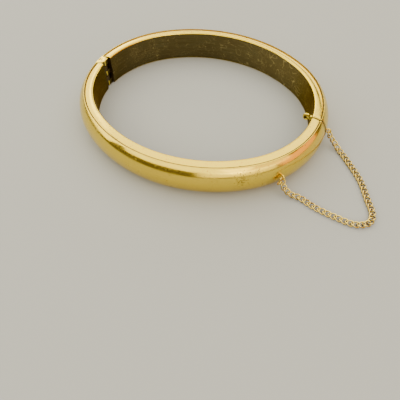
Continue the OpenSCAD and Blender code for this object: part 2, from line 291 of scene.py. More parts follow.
def rim_profile(s):
    """Upper half of the liner's outer face, from mid-height to the rim's outer edge."""
    h = s.height
    corner = (s.corner_radius, h - s.corner_radius)
    crown = (s.corner_radius, h - s.crown_radius)
    edge = math.degrees(math.acos((s.rim_width - s.corner_radius) / s.crown_radius))
    under = math.degrees(
        math.acos((s.rim_width - s.corner_radius) / (s.crown_radius - s.sheet))
    )
    edge_z = crown[1] + s.crown_radius * math.sin(math.radians(edge))
    under_z = crown[1] + (s.crown_radius - s.sheet) * math.sin(math.radians(under))
    wall = [(0.0, h / 2 + k * (h / 2 - s.corner_radius) / 8) for k in range(8)]
    top = wall + arc(corner, s.corner_radius, 180, 90, 9)
    top += arc(crown, s.crown_radius, 90, edge + 2, 12)[1:]
    top += soften([top[-1], (s.rim_width, edge_z), (s.rim_width, under_z)], s.edge_round)
    top.append((s.rim_width, under_z))
    inner = arc(crown, s.crown_radius - s.sheet, under, 90, 8)
    inner += arc(corner, s.corner_radius - s.sheet, 90, 180, 4)[1:]
    inner += [(s.sheet, h / 2 + k * (h / 2 - s.corner_radius) / 4) for k in (2, 0)]
    return top, inner


def liner_loop(s):
    """Closed section of the liner: the inner wall and its two rims."""
    top, inner = rim_profile(s)
    outer_face = whole_section(top, s.height)
    under_face = inner[1:] + [(d, s.height - z) for d, z in reversed(inner)][1:-1]
    return drop_doubles(outer_face + under_face)


def dome_profile(s):
    """Upper half of the dome's outer face, from the seam over the shoulder to mid-height."""
    h = s.height
    start = s.rim_width + s.seam_gap
    centre = (s.depth - s.dome_radius, h / 2)
    top_z = h - s.shoulder_drop
    lift = math.degrees(math.asin((top_z - h / 2) / s.dome_radius))
    face = arc(centre, s.dome_radius, lift, 0, 30)
    points = [(start, h - FOLD_DROP)]
    points += soften([(start, h - FOLD_DROP), (start, top_z), face[0]], s.edge_round / 2)
    points += soften([(start, top_z), face[0], face[1]], s.edge_round)
    return points + face[2:]


def dome_loop(s):
    """Closed section of the domed sheet with its folded edges."""
    outer = dome_profile(s)
    h = s.height
    centre = (s.depth - s.dome_radius, h / 2)
    lift = math.degrees(math.asin((h / 2 - FOLD_DROP) / (s.dome_radius - s.sheet)))
    inner = arc(centre, s.dome_radius - s.sheet, 0, lift, 10)
    bottom = [(d, h - z) for d, z in reversed(outer)][1:]
    inner_up = [(d, h - z) for d, z in reversed(inner)] + inner[1:]
    return drop_doubles(outer + bottom + inner_up)


def plate_loop(s):
    """Closed outline of the whole band, with the seam as a shallow groove."""
    top, _ = rim_profile(s)
    h = s.height
    rim = [p for p in top if p[0] < s.rim_width - PLAY or p[1] > h - FOLD_DROP / 2]
    dome = [p for p in dome_profile(s) if p[1] > h / 2 - PLAY]
    groove_z = h - GROOVE_DROP
    upper = rim + [(s.rim_width, groove_z), (s.rim_width + s.seam_gap, groove_z)] + dome[1:]
    lower = [(d, h - z) for d, z in reversed(upper)]
    return drop_doubles(upper + lower[1:-1])


def drop_doubles(points):
    """Leaves out points that repeat the one before them."""
    kept = []
    for p in points:
        if not kept or math.dist(p, kept[-1]) > SAME_POINT:
            kept.append(p)
    if math.dist(kept[0], kept[-1]) < SAME_POINT:
        kept.pop()
    return kept


class Oval:
    """The oval's four tangent arcs. A turn of 0 is the clasp, pi the hinge, along the back."""

    def __init__(self, s):
        self.end_radius = s.end_radius
        self.end_x = s.inner_length / 2 - s.end_radius
        half = s.inner_width / 2
        self.middle_radius = (self.end_x**2 + half**2 - s.end_radius**2) / (
            2 * (half - s.end_radius)
        )
        self.middle_y = half - self.middle_radius
        self.joint = math.atan2(-self.middle_y, self.end_x)

    def place(self, turn, d):
        """X and Y of a point at distance d from the inner wall, where the wall faces turn."""
        middle = (turn > self.joint) & (turn < math.pi - self.joint)
        x0 = np.where(middle, 0, np.where(turn < math.pi / 2, self.end_x, -self.end_x))
        y0 = np.where(middle, self.middle_y, 0)
        r = np.where(middle, self.middle_radius, self.end_radius) + d
        return x0 + r * np.cos(turn), y0 + r * np.sin(turn)

    def run(self, turn):
        """Length along the inner wall from the clasp to a turn."""
        first = self.end_radius * np.minimum(turn, self.joint)
        span = np.clip(turn - self.joint, 0, math.pi - 2 * self.joint)
        last = self.end_radius * np.maximum(turn - (math.pi - self.joint), 0)
        return first + self.middle_radius * span + last

    def depth(self, x, y):
        """Distance of a point from the inner wall."""
        y = abs(y)
        over_middle = abs(x) * -self.middle_y < self.end_x * (y - self.middle_y)
        if over_middle and y > 0:
            return math.hypot(x, y - self.middle_y) - self.middle_radius
        return math.hypot(abs(x) - self.end_x, y) - self.end_radius

    def turn_at(self, y, d):
        """The turn, near the clasp, where a point at distance d stands y from the seam."""
        return np.arcsin(y / (self.end_radius + d))


def sweep(name, loop, turns, oval, front, insets=0.0):
    """A closed solid swept along the band; turns has a row of turns for each station.

    Insets draw the section in at each station, for rounded ends.
    """
    points = np.array(loop)
    stations, sides = turns.shape
    inward = points.mean(0) - points
    inward /= np.linalg.norm(inward, axis=1, keepdims=True)
    drawn = points + np.broadcast_to(insets, stations)[:, None, None] * inward
    x, y = oval.place(turns, drawn[:, :, 0])
    z = drawn[:, :, 1]
    if front:
        y = -y
    coords = np.stack([x, y, z], -1).reshape(-1, 3)
    quads = []
    for i in range(stations - 1):
        for j in range(sides):
            k = (j + 1) % sides
            quads.append((i * sides + j, i * sides + k, (i + 1) * sides + k, (i + 1) * sides + j))
    caps = [tuple(range(sides)), tuple(range(stations * sides - 1, (stations - 1) * sides - 1, -1))]
    mesh = bpy.data.meshes.new(name)
    mesh.from_pydata(coords.tolist(), [], quads + caps)
    add_band_map(mesh, points, turns, oval)
    tidy(mesh)
    return link(name, mesh)


def add_band_map(mesh, points, turns, oval):
    """A map whose U is the length along the band and V the way round its section."""
    steps = np.linalg.norm(np.diff(points, axis=0, append=points[:1]), axis=1)
    around = np.concatenate([[0], np.cumsum(steps)[:-1]])
    along = oval.run(turns)
    per_point = np.stack([along, np.broadcast_to(around, along.shape)], -1).reshape(-1, 2)
    layer = mesh.uv_layers.new(name="band")
    index = np.zeros(len(mesh.loops), int)
    mesh.loops.foreach_get("vertex_index", index)
    layer.data.foreach_set("uv", (per_point[index] / MAP_UNIT).ravel())


def smooth(mesh, sharp=SHARP):
    """Smooth shading, with sharp edges where the metal has them."""
    mesh.shade_smooth()
    mesh.set_sharp_from_angle(angle=sharp)


def tidy(mesh, sharp=SHARP):
    """Outward faces and smooth shading."""
    work = bmesh.new()
    work.from_mesh(mesh)
    bmesh.ops.recalc_face_normals(work, faces=work.faces)
    work.to_mesh(mesh)
    work.free()
    smooth(mesh, sharp)


def link(name, mesh):
    """Puts a mesh into the scene as an object."""
    thing = bpy.data.objects.new(name, mesh)
    bpy.context.scene.collection.objects.link(thing)
    return thing


def band_turns(loop, oval, y_clasp, y_hinge, rounding, stations=240):
    """Stations from the clasp's end plane to the hinge's, and the insets of its ends."""
    d = np.array(loop)[:, 0]
    first = oval.turn_at(y_clasp, d)
    last = math.pi - oval.turn_at(y_hinge, d)
    ends = max(rounding, LEAST_ROUND) / CROWD * np.array([0, 0.25, 1.0])
    share = np.concatenate([ends, np.linspace(0, 1, stations)[3:-3], 1 - ends[::-1]])[:, None]
    insets = np.zeros(len(share))
    insets[:2] = rounding, rounding * EASE
    insets[-2:] = rounding * EASE, rounding
    return first + share * (last - first), insets


def plate_turns(loop, oval, y_near, y_far, at_hinge, near_round, far_round):
    """Stations through an end plate, and the insets that round its edges."""
    d = np.array(loop)[:, 0]
    places = [y_near, y_near + near_round * EASE, y_near + near_round]
    places += [y_far - far_round, y_far - far_round * EASE, y_far]
    rows = [oval.turn_at(y, d) for y in places]
    if at_hinge:
        rows = [math.pi - row for row in rows]
    insets = [near_round, near_round * EASE, 0, 0, far_round * EASE, far_round]
    return np.array(rows), np.array(insets)


def block(name, low, high):
    """A plain box used to cut others."""
    low, high = Vector(low), Vector(high)
    mesh = bpy.data.meshes.new(name)
    work = bmesh.new()
    place = Matrix.Translation((low + high) / 2) @ Matrix.Diagonal((*(high - low), 1))
    bmesh.ops.create_cube(work, size=1, matrix=place)
    work.to_mesh(mesh)
    work.free()
    return link(name, mesh)


def prism(name, outline, z_low, z_high):
    """A straight-sided solid over an outline in X and Y."""
    count = len(outline)
    coords = [(x, y, z) for z in (z_low, z_high) for x, y in outline]
    sides = [(i, (i + 1) % count, count + (i + 1) % count, count + i) for i in range(count)]
    caps = [tuple(reversed(range(count))), tuple(range(count, 2 * count))]
    mesh = bpy.data.meshes.new(name)
    mesh.from_pydata(coords, [], sides + caps)
    tidy(mesh)
    return link(name, mesh)


def tube(name, centre_lines, wire, sides=8):
    """Closed rings of round wire along closed centre lines, as one mesh.

    Its one attribute is 1 where the wire faces away from its ring's plane, 0 at its sides; the
    chain paints its sheen and shade by it.
    """
    coords = []
    faces = []
    wear_and_sheen = []
    for line in centre_lines:
        count = len(line)
        base = len(coords)
        middle = line.mean(0)
        flat = np.cross(line[0] - middle, line[count // 4] - middle)
        flat /= np.linalg.norm(flat)
        for i in range(count):
            ahead = line[(i + 1) % count] - line[i - 1]
            ahead = ahead / np.linalg.norm(ahead)
            out = (line[i] - middle) - np.dot(line[i] - middle, ahead) * ahead
            out = out / np.linalg.norm(out)
            side = np.cross(ahead, out)
            for j in range(sides):
                a = 2 * math.pi * (j + 0.5) / sides
                away = math.cos(a) * out + math.sin(a) * side
                coords.append(line[i] + wire / 2 * away)
                wear_and_sheen.append(abs(float(np.dot(away, flat))))
        for i in range(count):
            for j in range(sides):
                a, b = base + i * sides, base + ((i + 1) % count) * sides
                k = (j + 1) % sides
                faces.append((a + j, a + k, b + k, b + j))
    mesh = bpy.data.meshes.new(name)
    mesh.from_pydata([tuple(c) for c in coords], [], faces)
    layer = mesh.attributes.new("wear_and_sheen", "FLOAT", "POINT")
    layer.data.foreach_set("value", wear_and_sheen)
    tidy(mesh, math.radians(80))
    return link(name, mesh)


def apply_modifiers(thing):
    """Turns a piece's modifiers into mesh."""
    graph = bpy.context.evaluated_depsgraph_get()
    shaped = bpy.data.meshes.new_from_object(thing.evaluated_get(graph))
    thing.modifiers.clear()
    thing.data = shaped


def drop_slivers(mesh, reach=1e-7):
    """Melts the needle-thin faces that a cut leaves behind."""
    work = bmesh.new()
    work.from_mesh(mesh)
    bmesh.ops.remove_doubles(work, verts=work.verts, dist=reach)
    bmesh.ops.dissolve_degenerate(work, edges=work.edges, dist=reach)
    work.to_mesh(mesh)
    work.free()


def boolean(thing, other, operation):
    """Cuts or trims a piece by another one, which is then removed."""
    step = thing.modifiers.new(operation.lower(), "BOOLEAN")
    step.operation = operation
    step.object = other
    step.solver = "EXACT"
    bpy.context.view_layer.update()
    apply_modifiers(thing)
    drop_slivers(thing.data)
    bpy.data.objects.remove(other)


def bevel(thing, width, segments=2):
    """Rounds a piece's sharp edges as polishing does."""
    step = thing.modifiers.new("edges", "BEVEL")
    step.width = width
    step.segments = segments
    step.limit_method = "ANGLE"
    step.angle_limit = SHARP
    bpy.context.view_layer.update()
    apply_modifiers(thing)
    smooth(thing.data, math.radians(50))


def join(name, parts):
    """Makes one piece of several."""
    work = bmesh.new()
    for part in parts:
        part.data.transform(part.matrix_world)
        work.from_mesh(part.data)
    mesh = bpy.data.meshes.new(name)
    work.to_mesh(mesh)
    work.free()
    for part in parts:
        bpy.data.objects.remove(part)
    return link(name, mesh)


def knuckle(s, index, front):
    """One hinge knuckle with its web, trimmed to the band's outline."""
    r = s.knuckle / 2
    step = (s.height - 2 * s.hinge_inset + s.knuckle_gap) / KNUCKLES
    low = s.hinge_inset + index * step
    reach = r + s.hinge_gap + s.plate / 2
    outline = arc((HINGE_X, 0), r, 180, 360, 41) + [(HINGE_X + r, reach), (HINGE_X - r, reach)]
    piece = prism("knuckle", outline, low, low + step - s.knuckle_gap)
    centre = (-s.inner_length / 2 - s.depth + s.dome_radius, s.height / 2)
    lift = math.degrees(math.asin((s.height / 2 - s.shoulder_drop) / s.dome_radius))
    profile = arc(centre, s.dome_radius, 180 + lift, 180 - lift, 49)
    profile += [(0, s.height - s.shoulder_drop), (0, s.shoulder_drop)]
    trim = prism("trim", profile, -1.25 * s.knuckle, 1.25 * s.knuckle)
    trim.data.transform(Matrix.Rotation(math.radians(90), 4, "X"))
    boolean(piece, trim, "INTERSECT")
    bore = arc((HINGE_X, 0), s.pin / 2 + s.pin_fit, 0, 360, 33)[:-1]
    boolean(piece, prism("hole", bore, -MM, s.height + MM), "DIFFERENCE")
    bevel(piece, 0.07 * MM)
    if front:
        piece.data.transform(Matrix.Diagonal((1, -1, 1, 1)))
        piece.data.flip_normals()
    return piece


def eyelet_place(band, chain, turn):
    """Middle of an eyelet, and the way that it stands out from the dome."""
    oval = Oval(band)
    out = Vector((math.cos(turn), math.sin(turn), 0))
    stand = band.depth + chain.eyelet / 2 + chain.eyelet_wire / 2 - chain.eyelet_sink
    place = Vector((oval.end_x, 0, band.height / 2)) + out * (oval.end_radius + stand)
    return place, out


def eyelet_line(band, chain, turn, count=40):
    """Centre line of an eyelet, in the plane of the band's section."""
    place, out = eyelet_place(band, chain, turn)
    ring = arc((0, 0), chain.eyelet / 2, 0, 360, count + 1)[:-1]
    return np.array([place + out * away + Vector((0, 0, rise)) for away, rise in ring])


def solder_blob(band, chain, turn):
    """The small cone of solder that holds an eyelet on the dome."""
    place, out = eyelet_place(band, chain, turn)
    foot = place - out * (chain.eyelet / 2 + chain.eyelet_wire / 2 - SOLDER_SINK)
    mesh = bpy.data.meshes.new("solder")
    work = bmesh.new()
    bmesh.ops.create_uvsphere(work, u_segments=24, v_segments=12, radius=SOLDER_RADIUS)
    turn_to = out.to_track_quat("Z", "Y").to_matrix().to_4x4()
    work.transform(Matrix.Translation(foot) @ turn_to @ Matrix.Diagonal(SOLDER_STRETCH))
    work.to_mesh(mesh)
    work.free()
    mesh.shade_smooth()
    return link("solder", mesh)


def curb_lines(band, chain, sides=28):
    """Centre lines of the curb links along their route from eyelet to eyelet."""
    back = np.array(eyelet_place(band, chain, chain.back_turn)[0])
    front = np.array(eyelet_place(band, chain, -chain.front_turn)[0])
    route = np.array([back, *CHAIN_ROUTE, front])
    ends = np.vstack([2 * route[0] - route[1], route, 2 * route[-1] - route[-2]])
    curve = []
    for i in range(len(route) - 1):
        a, b, c, d = ends[i : i + 4]
        for u in np.arange(0, 1, 1 / ROUTE_STEPS):
            curve.append(
                0.5 * (2 * b + (c - a) * u + (2 * a - 5 * b + 4 * c - d) * u**2
                       + (3 * b - a - 3 * c + d) * u**3)
            )
    curve = np.array(curve + [route[-1]])
    travel = np.concatenate([[0], np.cumsum(np.linalg.norm(np.diff(curve, axis=0), axis=1))])

    def at(s):
        return np.array([np.interp(s, travel, curve[:, k]) for k in range(3)])

    run = travel[-1] - 2 * chain.reach
    count = round(run / chain.pitch) + 1
    step = run / (count - 1)
    half_l = (chain.link_length - chain.wire) / 2
    half_b = (chain.link_width - chain.wire) / 2
    lines = []
    for i in range(count):
        s = chain.reach + i * step
        ahead = at(s + step / 2) - at(s - step / 2)
        ahead /= np.linalg.norm(ahead)
        up = np.array([0, 0, 1]) - ahead[2] * ahead
        up /= np.linalg.norm(up)
        side = np.cross(up, ahead)
        u = 2 * math.pi * (np.arange(sides) + 0.5) / sides
        x = np.sign(np.cos(u)) * np.abs(np.cos(u)) ** LINK_FULLNESS
        y = np.sign(np.sin(u)) * np.abs(np.sin(u)) ** LINK_FULLNESS
        twist = chain.twist * x
        lines.append(
            at(s) + np.outer(half_l * x, ahead) + np.outer(half_b * y * np.cos(twist), side)
            + np.outer(half_b * y * np.sin(twist), up)
        )
    return lines


class Nodes:
    """Short way to write a node tree."""

    def __init__(self, tree):
        self.tree = tree

    def add(self, kind, **values):
        """Adds a node and sets its properties."""
        node = self.tree.nodes.new(kind)
        for key, value in values.items():
            setattr(node, key, value)
        return node

    def link(self, source, target):
        """Joins an output to an input."""
        self.tree.links.new(source, target)

    def feed(self, slot, value):
        """Links an output to an input, or sets the input to a plain value."""
        if isinstance(value, bpy.types.NodeSocket):
            self.link(value, slot)
        else:
            slot.default_value = value

    def math(self, operation, a, b=0.0):
        """A Math node fed by sockets or numbers."""
        node = self.add("ShaderNodeMath", operation=operation)
        self.feed(node.inputs[0], a)
        self.feed(node.inputs[1], b)
        return node.outputs[0]

    def noise(self, vector, scale, detail, distortion=0.0):
        """The value of a noise texture."""
        node = self.add("ShaderNodeTexNoise")
        self.feed(node.inputs["Scale"], scale)
        self.feed(node.inputs["Detail"], detail)
        self.feed(node.inputs["Distortion"], distortion)
        self.link(vector, node.inputs["Vector"])
        return node.outputs["Fac"]

    def ramp(self, source, stops):
        """A colour ramp in greys; stops are (place, value)."""
        node = self.add("ShaderNodeValToRGB")
        points = node.color_ramp.elements
        while len(points) < len(stops):
            points.new(0.5)
        for point, (place, value) in zip(points, stops):
            point.position = place
            point.color = (value, value, value, 1)
        self.link(source, node.inputs["Fac"])
        return node.outputs["Color"]

    def mix(self, share, a, b):
        """A mix of two colours."""
        node = self.add("ShaderNodeMix", data_type="RGBA")
        self.feed(node.inputs["Factor"], share)
        for name, value in (("A", a), ("B", b)):
            slot = [i for i in node.inputs if i.name == name and i.type == "RGBA"][0]
            self.feed(slot, value if isinstance(value, bpy.types.NodeSocket) else (*value, 1))
        return [o for o in node.outputs if o.type == "RGBA"][0]


def new_group(name, inputs, outputs):
    """A shader node group with named float or vector sockets."""
    group = bpy.data.node_groups.new(name, "ShaderNodeTree")
    for label, kind, value in inputs:
        socket = group.interface.new_socket(name=label, in_out="INPUT", socket_type=kind)
        if value is not None:
            socket.default_value = value
    for label, kind in outputs:
        group.interface.new_socket(name=label, in_out="OUTPUT", socket_type=kind)
    tree = Nodes(group)
    return group, tree, tree.add("NodeGroupInput"), tree.add("NodeGroupOutput")


def hairline_group():
    """Hairline scratches: thin broken lines in three directions."""
    group, tree, given, result = new_group(
        "hairlines",
        [("Vector", "NodeSocketVector", None), ("Scale", "NodeSocketFloat", 1.0)],
        [("Height", "NodeSocketFloat"), ("Mask", "NodeSocketFloat")],
    )
    total = None
    for number, turn in enumerate((0.35, 1.45, 2.5)):
        place = tree.add("ShaderNodeMapping")
        place.inputs["Rotation"].default_value = (0.3 * number, 0.5, turn)
        place.inputs["Scale"].default_value = (90, 1500, 900)
        place.inputs["Location"].default_value = (number * 3.1, number * 1.7, 0)
        tree.link(given.outputs["Vector"], place.inputs["Vector"])
        noise = tree.noise(place.outputs["Vector"], given.outputs["Scale"], 1.0, 0.25)
        lines = tree.ramp(noise, [(0.485, 0), (0.5, 1), (0.515, 0)])
        patches = tree.noise(given.outputs["Vector"], 160 + 60 * number, 1.0)
        where = tree.ramp(patches, [(0.5, 0), (0.66, 1)])
        some = tree.math("MULTIPLY", lines, where)
        total = some if total is None else tree.math("MAXIMUM", total, some)
    tree.link(total, result.inputs["Mask"])
    tree.link(tree.math("SUBTRACT", 1.0, total), result.inputs["Height"])
    return group


def handling_group():
    """Uneven polish: soft smudges and slow waves left by hand polishing."""
    group, tree, given, result = new_group(
        "handling",
        [("Vector", "NodeSocketVector", None)],
        [("Smudge", "NodeSocketFloat"), ("Waves", "NodeSocketFloat")],
    )
    smudge = tree.noise(given.outputs["Vector"], 140, 5.0)
    tree.link(tree.ramp(smudge, [(0.42, 0), (0.72, 1)]), result.inputs["Smudge"])
    tree.link(tree.noise(given.outputs["Vector"], 95, 1.5), result.inputs["Waves"])
    return group


def curl_group():
    """Curly scratches: thin arcs left by a turning cloth or a knock, in patches."""
    group, tree, given, result = new_group(
        "curls",
        [("Vector", "NodeSocketVector", None), ("Scale", "NodeSocketFloat", 220.0)],
        [("Mask", "NodeSocketFloat")],
    )
    total = None
    for place, thin in (((0, 0, 0), 0.012), ((3.7, 1.9, 5.1), 0.009)):
        shift = tree.add("ShaderNodeMapping")
        shift.inputs["Location"].default_value = place
        tree.link(given.outputs["Vector"], shift.inputs["Vector"])
        noise = tree.noise(shift.outputs["Vector"], given.outputs["Scale"], 0.6)
        arcs = tree.math("FRACT", tree.math("MULTIPLY", noise, 7.0))
        lines = tree.ramp(arcs, [(0.5 - 6 * thin, 0), (0.5, 1), (0.5 + 6 * thin, 0)])
        patch = tree.noise(shift.outputs["Vector"], 260, 2.0)
        where = tree.ramp(patch, [(0.5, 0), (0.62, 1)])
        some = tree.math("MULTIPLY", lines, where)
        total = some if total is None else tree.math("MAXIMUM", total, some)
    tree.link(total, result.inputs["Mask"])
    return group


def near(tree, where, place, reach):
    """1 at a place on the metal, falling to 0 at a distance."""
    gap = tree.add("ShaderNodeVectorMath", operation="DISTANCE")
    gap.inputs[1].default_value = place
    tree.link(where, gap.inputs[0])
    fall = tree.add("ShaderNodeMapRange")
    fall.inputs["From Max"].default_value = reach
    fall.inputs["To Min"].default_value = 1.0
    fall.inputs["To Max"].default_value = 0.0
    tree.link(gap.outputs["Value"], fall.inputs["Value"])
    return fall.outputs["Result"]


def streak_group():
    """Long draw lines that run along the band."""
    group, tree, given, result = new_group(
        "draw_lines",
        [("Vector", "NodeSocketVector", None), ("Fineness", "NodeSocketFloat", 1.0)],
        [("Height", "NodeSocketFloat"), ("Tone", "NodeSocketFloat")],
    )
    place = tree.add("ShaderNodeMapping")
    place.inputs["Scale"].default_value = (14, 420, 1)
    tree.link(given.outputs["Vector"], place.inputs["Vector"])
    fine = tree.noise(place.outputs["Vector"], given.outputs["Fineness"], 4.0)
    tree.link(fine, result.inputs["Height"])
    tree.link(tree.ramp(fine, [(0.35, 0), (0.65, 1)]), result.inputs["Tone"])
    return group


def group_node(tree, name, vector):
    """Places a shared node group and feeds it a vector."""
    node = tree.add("ShaderNodeGroup", node_tree=bpy.data.node_groups[name])
    tree.link(vector, node.inputs["Vector"])
    return node


def new_metal(name):
    """A metal with its tree, shader and place, and the two effects that all metals share."""
    material = bpy.data.materials.new(name)
    material.use_nodes = True
    tree = Nodes(material.node_tree)
    shader = material.node_tree.nodes["Principled BSDF"]
    shader.inputs["Metallic"].default_value = 1.0
    where = tree.add("ShaderNodeTexCoord").outputs["Object"]
    hair = group_node(tree, "hairlines", where)
    hand = group_node(tree, "handling", where)
    return material, tree, shader, where, hair, hand


def shade(colour, factors):
    """A colour with each of its channels scaled."""
    return tuple(min(1, c * k) for c, k in zip(colour, factors))


def dress(tree, shader, colour, rough, heights):
    """Feeds a shader its colour, its roughness and its bumps.

    Heights are (socket, distance) and go through Bump nodes one after another.
    """
    tree.link(colour, shader.inputs["Base Color"])
    tree.link(rough, shader.inputs["Roughness"])
    last = None
    for socket, distance in heights:
        node = tree.add("ShaderNodeBump")
        node.inputs["Distance"].default_value = distance
        tree.link(socket, node.inputs["Height"])
        if last is not None:
            tree.link(last, node.inputs["Normal"])
        last = node.outputs["Normal"]
    tree.link(last, shader.inputs["Normal"])


def polished_gold(finish):
    """The worn mirror polish of the outside and the rims."""
    material, tree, shader, where, hair, hand = new_metal("polished_gold")
    warm = shade(finish.gold, (0.97, 0.92, 0.82))
    tone = tree.mix(hand.outputs["Waves"], finish.gold, warm)
    scuffs = None
    for place, reach in SCUFFS:
        grain = tree.noise(where, 2200, 3.0)
        spot = tree.math("MULTIPLY", near(tree, where, place, reach), 0.24)
        some = tree.ramp(tree.math("ADD", spot, grain), [(0.64, 0), (0.74, 1)])
        scuffs = some if scuffs is None else tree.math("MAXIMUM", scuffs, some)
    scuffed = tree.math("MULTIPLY", scuffs, 0.6)
    scratched = tree.math("MULTIPLY", hair.outputs["Mask"], 0.25)
    wear_and_sheen = tree.math("MAXIMUM", scuffed, scratched)
    colour = tree.mix(wear_and_sheen, tone, finish.tarnish_and_shade)
    rough = tree.math("MULTIPLY", hand.outputs["Smudge"], 0.10)
    rough = tree.math("ADD", rough, 0.14)
    rough = tree.math("ADD", rough, tree.math("MULTIPLY", wear_and_sheen, 0.5))
    heights = [(hand.outputs["Waves"], 0.05 * MM), (hair.outputs["Height"], 0.0012 * MM)]
    dress(tree, shader, colour, rough, heights)
    return material


def inside_gold(finish):
    """The duller inner wall, darkened as painted shade, with its draw lines, scratches and smudges.
    """
    material, tree, shader, where, hair, hand = new_metal("inside_gold")
    band = tree.add("ShaderNodeUVMap", uv_map="band").outputs["UV"]
    lines = group_node(tree, "draw_lines", band)
    dull = shade(finish.inside, (0.72, 0.68, 0.55))
    tone = tree.mix(tree.math("MULTIPLY", lines.outputs["Tone"], 0.85), finish.inside, dull)
    tone = tree.mix(tree.math("MULTIPLY", hand.outputs["Smudge"], 0.35), tone, finish.tarnish_and_shade)
    bright = shade(finish.inside, (5, 5, 5))
    curls = group_node(tree, "curls", where)
    around = near(tree, where, CURLS, CURLS_REACH)
    curly = tree.math("MULTIPLY", curls.outputs["Mask"], around)
    lines_seen = tree.math("MAXIMUM", tree.math("MULTIPLY", hair.outputs["Mask"], 0.5), curly)
    tone = tree.mix(tree.math("MULTIPLY", around, 0.14), tone, bright)
    tone = tree.mix(lines_seen, tone, bright)
    shader.inputs["Specular Tint"].default_value = (0.62, 0.46, 0.2, 1)
    rough = tree.math("ADD", tree.math("MULTIPLY", lines.outputs["Tone"], 0.12), 0.24)
    rough = tree.math("ADD", rough, tree.math("MULTIPLY", hand.outputs["Smudge"], 0.1))
    heights = [(lines.outputs["Height"], 0.006 * MM), (hair.outputs["Height"], 0.003 * MM)]
    dress(tree, shader, tone, rough, heights)
    return material


def seam_gold(finish):
    """Metal of plates, knuckles and other hidden faces, darkened as painted shade."""
    material, tree, shader, _, hair, hand = new_metal("seam_gold")
    # Share of the painted shade, made a little uneven by the smudges.
    seam_shade = tree.math("ADD", tree.math("MULTIPLY", hand.outputs["Smudge"], 0.4), 0.6)
    colour = tree.mix(seam_shade, finish.inside, finish.tarnish_and_shade)
    rough = tree.math("ADD", tree.math("MULTIPLY", hand.outputs["Waves"], 0.2), 0.3)
    dress(tree, shader, colour, rough, [(hair.outputs["Height"], 0.004 * MM)])
    return material


def fitting_gold(finish):
    """Bright small fittings: hinge, pin, tongue, button, eyelets and the loose ring."""
    material, tree, shader, _, hair, hand = new_metal("fitting_gold")
    tone = tree.mix(tree.math("MULTIPLY", hand.outputs["Smudge"], 0.4), finish.gold, finish.inside)
    rough = tree.math("ADD", tree.math("MULTIPLY", hand.outputs["Smudge"], 0.15), 0.12)
    dress(tree, shader, tone, rough, [(hair.outputs["Height"], 0.003 * MM)])
    return material


def chain_gold(finish):
    """Bright drawn wire of the links, with painted shade on the wire's sides along each link's
    plane.
    """
    material, tree, shader, where, _, hand = new_metal("chain_gold")
    grain = tree.noise(where, 2600, 2.0)
    warm = shade(finish.chain, (0.95, 0.88, 0.75))
    tone = tree.mix(tree.math("MULTIPLY", hand.outputs["Waves"], 0.8), finish.chain, warm)
    # Painted sheen where the wire faces away from its link's plane, painted shade on its sides.
    wear_and_sheen = tree.add("ShaderNodeAttribute", attribute_name="wear_and_sheen").outputs["Fac"]
    bright = tree.ramp(tree.math("ADD", wear_and_sheen, tree.math("MULTIPLY", grain, 0.3)),
                       [(0.42, 0), (0.95, 1)])
    colour = tree.mix(bright, finish.tarnish_and_shade, tone)
    rough = tree.math("ADD", tree.math("MULTIPLY", grain, 0.16), 0.08)
    dress(tree, shader, colour, rough, [(grain, 0.008 * MM)])
    return material


def pale_floor(colour):
    """Plain matt studio floor."""
    material = bpy.data.materials.new("pale_floor")
    material.use_nodes = True
    shader = material.node_tree.nodes["Principled BSDF"]
    shader.inputs["Base Color"].default_value = (*colour, 1)
    shader.inputs["Roughness"].default_value = 0.85
    return material


def metal(name):
    """The named finish, made on first use."""
    if name in bpy.data.materials:
        return bpy.data.materials[name]
    makers = {
        "polished_gold": polished_gold,
        "inside_gold": inside_gold,
        "seam_gold": seam_gold,
        "fitting_gold": fitting_gold,
        "chain_gold": chain_gold,
    }
    if "hairlines" not in bpy.data.node_groups:
        hairline_group()
        handling_group()
        curl_group()
        streak_group()
    return makers[name](bpy.context.scene.bangle_finish)


def finish_faces(thing, names, choose):
    """Gives a piece its finishes; choose returns a finish's number for a face."""
    thing.data.materials.clear()
    for name in names:
        thing.data.materials.append(metal(name))
    for face in thing.data.polygons:
        face.material_index = choose(face)


def settle(thing, node):
    """Lets a piece stand for a CAD node and ride on its body."""
    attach(thing, frame["nodes"][node]["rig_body"])
    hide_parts(node)


class BANGLE_OT_domes(bpy.types.Operator):
    """Build the domed outer sheets with their eyelets"""

    bl_idname = "bangle.domes"
    bl_label = "Domes"

    def execute(self, context):
        s = context.scene.bangle_band
        chain = context.scene.bangle_chain
        oval = Oval(s)
        loop = dome_loop(s)
        start = s.clasp_gap / 2 + s.plate + s.seam_gap
        stop = s.knuckle / 2 + s.hinge_gap + s.plate + s.seam_gap
        for node, front, turn in (
            ("back_dome", False, chain.back_turn),
            ("front_dome", True, -chain.front_turn),
        ):
            turns, insets = band_turns(loop, oval, start, stop, s.line_round)
            shell = sweep("shell", loop, turns, oval, front, insets)
            ring = tube("eyelet", [eyelet_line(s, chain, turn)], chain.eyelet_wire, sides=12)
            blob = solder_blob(s, chain, turn)
            count = len(shell.data.polygons)
            piece = join(f"{node}_skin", [shell, ring, blob])
            smooth(piece.data)
            finish_faces(
                piece,
                ["polished_gold", "fitting_gold", "seam_gold"],
                lambda f: self.pick(f, s, oval, count),
            )
            settle(piece, node)
        return {"FINISHED"}

    @staticmethod
    def pick(face, s, oval, skin):
        """0 the polished dome, 1 its eyelet, 2 the edges along the seams, darkened as painted
        shade.
        """
        if face.index >= skin:
            return 1
        centre = face.center
        # Painted shade along the dome's seam with the rim, and at its end by the clasp.
        if abs(centre.z - s.height / 2) > s.height / 2 - 3 * s.shoulder_drop:
            if oval.depth(centre.x, centre.y) < s.rim_width + s.seam_gap + s.seam_shade:
                return 2
        edge = s.clasp_gap / 2 + s.plate + s.seam_gap + s.line_round / 2
        if centre.x > 0 and abs(centre.y) < edge:
            return 2
        return 0


